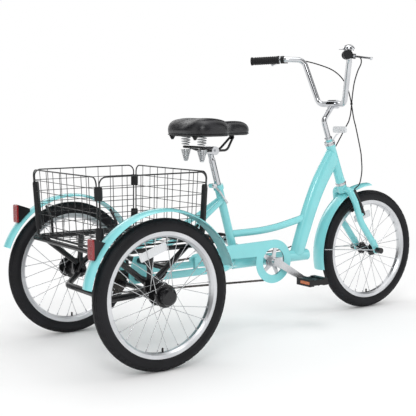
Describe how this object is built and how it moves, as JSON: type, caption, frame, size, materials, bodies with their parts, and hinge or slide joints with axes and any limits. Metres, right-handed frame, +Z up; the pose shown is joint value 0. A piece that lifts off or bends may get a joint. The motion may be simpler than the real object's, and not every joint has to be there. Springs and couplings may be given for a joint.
{
  "type": "adult tricycle",
  "caption": "Step-through pedal tricycle for an adult, with a steered front wheel, a driven rear axle, mudguards, a sprung saddle and a wire basket between the rear wheels.",
  "frame": {"origin": "on the floor, under the middle of the tricycle's length and width", "axes": "+X forward, +Y to the rider's left, +Z up"},
  "size_m": [1.7574, 0.761, 1.0895],
  "materials": {
    "mint_paint": "gloss powder coat",
    "chrome_plate": "polished plate",
    "alloy": "satin",
    "bright_steel": "bright zinc",
    "tyre_rubber": "matte rubber",
    "black_rubber": "soft matte",
    "black_plastic": "moulded",
    "black_paint": "black gloss coat",
    "dark_steel": "oiled, blackened",
    "red_lens": "ribbed clear red",
    "white_reflector": "prismatic",
    "saddle_cover": "stitched vinyl"
  },
  "bodies": {
    "frame": {"head_and_down_tube": "mint_paint", "bottom_tube_and_stays": "mint_paint", "seat_and_top_tube": "mint_paint", "seat_stays": "mint_paint", "bearing_cups": "chrome_plate", "rear_brake_cable": "black_rubber", "axle_bearings": "black_paint", "rear_brake_band": "black_paint", "chain": "dark_steel", "chain_guard": "mint_paint", "axle_carriage": "black_paint", "basket": "black_paint", "basket_clips": "black_plastic", "rear_mudguards": "mint_paint", "tail_lamp_shells": "black_plastic", "tail_lenses": "red_lens", "seat_clamp": "mint_paint"},
    "steering": {"fork": "mint_paint", "stem": "chrome_plate", "handlebar": "chrome_plate", "grips": "black_rubber", "lever_brackets": "black_plastic", "bell": "chrome_plate", "front_reflector": "white_reflector", "front_brake_cable": "black_rubber", "rear_brake_cable_loop": "black_rubber", "front_mudguard": "mint_paint", "front_mudguard_stays": "black_paint", "front_axle": "chrome_plate"},
    "front_wheel": {"front_tyre": "tyre_rubber", "front_rim": "alloy", "front_spokes": "bright_steel", "front_hub": "black_paint", "front_spoke_reflector": "white_reflector"},
    "driven_axle": {"drive_axle": "bright_steel", "rear_sprocket": "bright_steel", "right_tyre": "tyre_rubber", "right_rim": "alloy", "right_spokes": "bright_steel", "right_hub": "black_paint", "right_spoke_reflector": "white_reflector"},
    "left_wheel": {"left_tyre": "tyre_rubber", "left_rim": "alloy", "left_spokes": "bright_steel", "left_hub": "black_paint"},
    "crankset": {"chainring": "chrome_plate", "cranks": "chrome_plate"},
    "right_pedal": {"right_pedal": "black_plastic"},
    "left_pedal": {"left_pedal": "black_plastic"},
    "right_lever": {"right_brake_lever": "alloy"},
    "left_lever": {"left_brake_lever": "alloy"},
    "right_arm": {"right_brake_arm": "black_paint"},
    "left_arm": {"left_brake_arm": "black_paint"},
    "rear_arm": {"rear_brake_arm": "alloy"},
    "bell_thumb": {"bell_lever": "black_plastic"},
    "post": {"seat_post": "chrome_plate", "saddle_frame": "black_paint", "saddle_springs": "chrome_plate"},
    "saddle": {"saddle_pad": "saddle_cover"},
    "post_lever": {"seat_lever": "alloy"}
  },
  "joints": [
    {"name": "steering_turn", "type": "hinge", "parent": "frame", "child": "steering", "pos_m": [0.47472, 0, 0.5414], "axis": [-0.3535, 0, 0.9354], "range_deg": [-60, 60], "deforming": ["rear_brake_cable_loop"]},
    {"name": "front_wheel_spin", "type": "hinge", "parent": "steering", "child": "front_wheel", "pos_m": [0.62866, 0, 0.25], "axis": [0, 1, 0], "continuous": true},
    {"name": "axle_spin", "type": "hinge", "parent": "frame", "child": "driven_axle", "pos_m": [-0.60134, 0, 0.25], "axis": [0, 1, 0], "continuous": true},
    {"name": "left_wheel_spin", "type": "hinge", "parent": "driven_axle", "child": "left_wheel", "pos_m": [-0.60134, 0.328, 0.25], "axis": [0, 1, 0], "continuous": true},
    {"name": "crank_turn", "type": "hinge", "parent": "frame", "child": "crankset", "pos_m": [0.07366, 0, 0.257], "axis": [0, 1, 0], "continuous": true},
    {"name": "right_pedal_spin", "type": "hinge", "parent": "crankset", "child": "right_pedal", "pos_m": [0.21095, -0.136, 0.17483], "axis": [0, 1, 0], "continuous": true},
    {"name": "left_pedal_spin", "type": "hinge", "parent": "crankset", "child": "left_pedal", "pos_m": [-0.06363, 0.134, 0.33917], "axis": [0, 1, 0], "continuous": true},
    {"name": "right_lever_squeeze", "type": "hinge", "parent": "steering", "child": "right_lever", "pos_m": [0.3424, -0.20906, 1.04238], "axis": [0, 0, -1], "range_deg": [0, 22], "stiffness_Nm_per_rad": 1.2, "springref_deg": -14.32},
    {"name": "left_lever_squeeze", "type": "hinge", "parent": "steering", "child": "left_lever", "pos_m": [0.3424, 0.20906, 1.04238], "axis": [0, 0, 1], "range_deg": [0, 22], "stiffness_Nm_per_rad": 1.2, "springref_deg": -14.32},
    {"name": "right_arm_pinch", "type": "hinge", "parent": "steering", "child": "right_arm", "pos_m": [0.54718, -0.057, 0.40736], "axis": [-0.9354, 0, -0.3535], "range_deg": [0, 2.4]},
    {"name": "left_arm_pinch", "type": "hinge", "parent": "steering", "child": "left_arm", "pos_m": [0.54718, 0.057, 0.40736], "axis": [0.9354, 0, 0.3535], "range_deg": [0, 2.4]},
    {"name": "rear_arm_pull", "type": "hinge", "parent": "frame", "child": "rear_arm", "pos_m": [-0.60134, 0.045, 0.3], "axis": [0, 1, 0], "range_deg": [0, 12]},
    {"name": "bell_thumb_push", "type": "hinge", "parent": "steering", "child": "bell_thumb", "pos_m": [0.35373, -0.14854, 1.06596], "axis": [0, 0, 1], "range_deg": [0, 28], "stiffness_Nm_per_rad": 0.02, "springref_deg": -17.19},
    {"name": "seat_height", "type": "slide", "parent": "frame", "child": "post", "axis": [-0.2706, 0, 0.9627], "range_m": [-0.02, 0.09]},
    {"name": "saddle_press", "type": "hinge", "parent": "post", "child": "saddle", "pos_m": [-0.08234, 0, 0.739], "axis": [0, -1, 0], "range_deg": [0, 2.6], "stiffness_Nm_per_rad": 500, "springref_deg": -2.29, "deforming": ["saddle_springs"]},
    {"name": "post_lever_open", "type": "hinge", "parent": "frame", "child": "post_lever", "pos_m": [-0.17368, 0, 0.55951], "axis": [0, -1, 0], "range_deg": [0, 150]}
  ],
  "couplings": [
    {"joint": "crank_turn", "follows": "axle_spin", "ratio": 0.5},
    {"joint": "right_arm_pinch", "follows": "left_lever_squeeze", "ratio": 0.10454},
    {"joint": "left_arm_pinch", "follows": "left_lever_squeeze", "ratio": 0.10454},
    {"joint": "rear_arm_pull", "follows": "right_lever_squeeze", "ratio": 0.52273}
  ]
}
